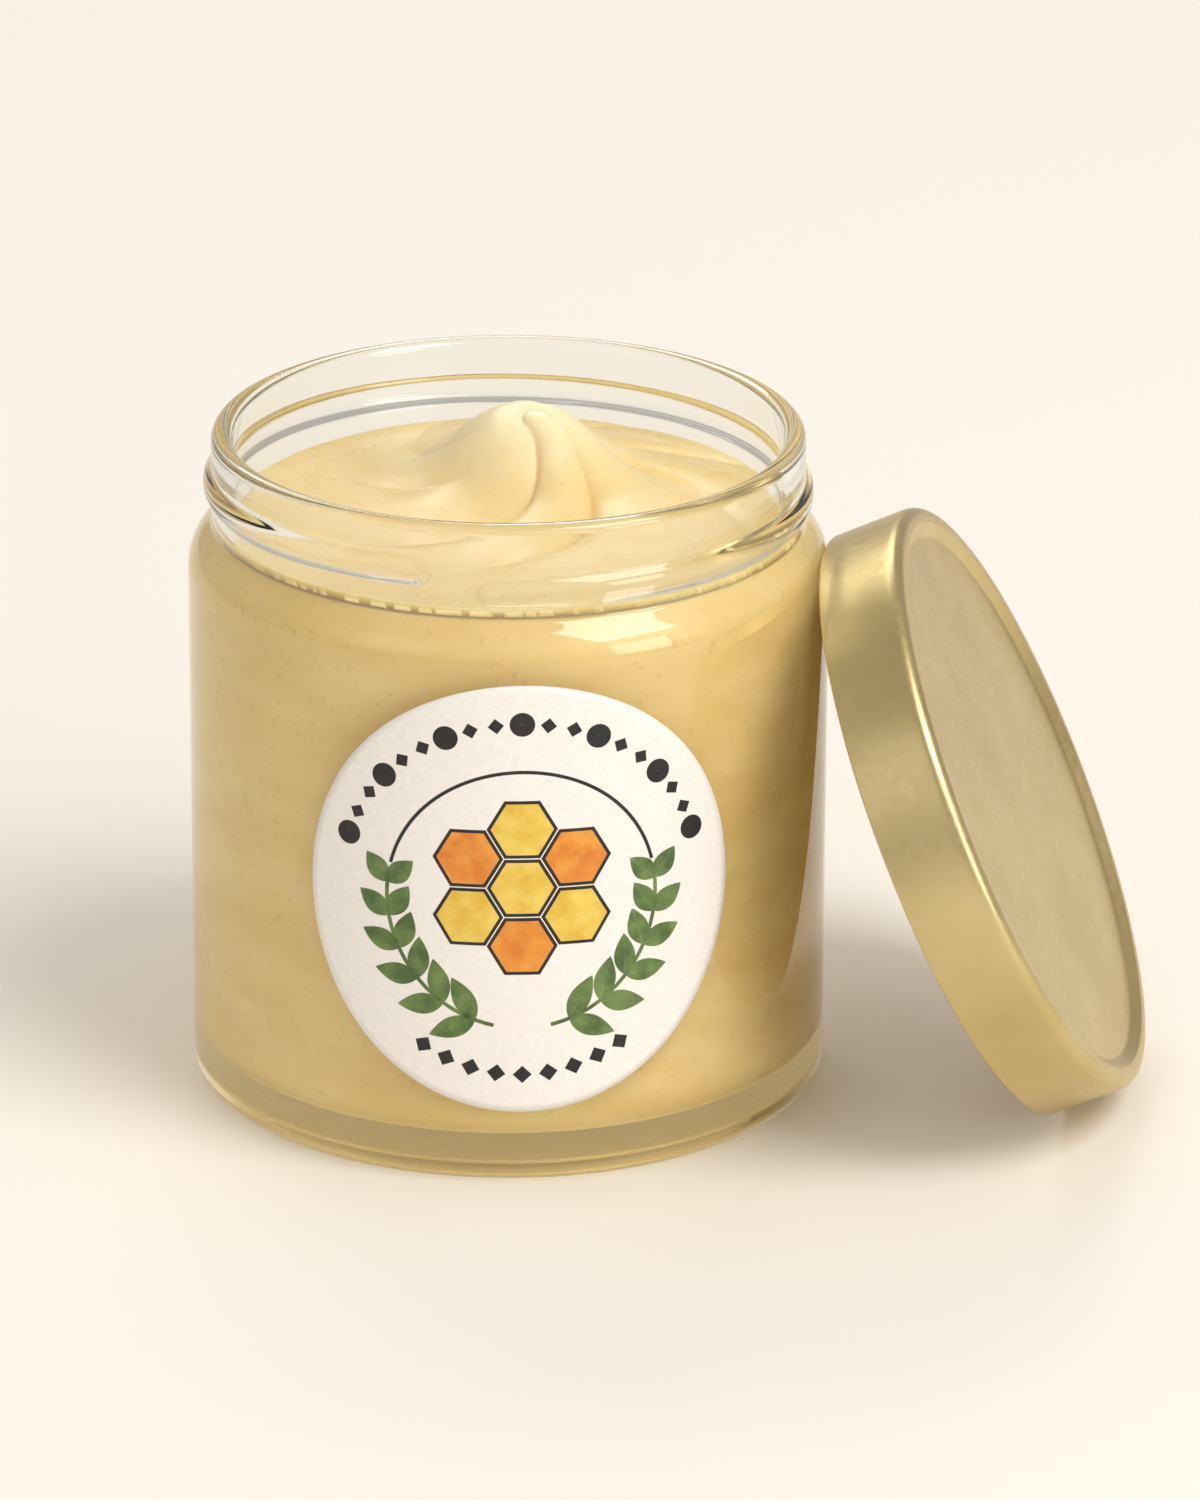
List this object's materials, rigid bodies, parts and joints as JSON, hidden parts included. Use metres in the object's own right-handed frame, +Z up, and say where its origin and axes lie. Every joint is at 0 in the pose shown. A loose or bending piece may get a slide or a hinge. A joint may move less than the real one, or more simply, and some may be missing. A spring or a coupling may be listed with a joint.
{
  "type": "honey jar",
  "caption": "Open clear glass jar of pale whipped honey with a swirled top and a round label, its metal lid leaning on it.",
  "frame": {"origin": "on the jar's axis, at the level of the ring that the jar stands on", "axes": "+Z up along the jar's axis; the label faces -Y; the lid leans on the jar's +X side"},
  "size_m": [0.1095, 0.079, 0.077],
  "materials": {
    "glass": "clear polished",
    "honey": "soft satin",
    "label": "matt paper",
    "lid_metal": "satin gold lacquer"
  },
  "bodies": {
    "root": {"jar": "glass", "honey": "honey", "label": "label", "lid": "lid_metal"}
  },
  "joints": []
}
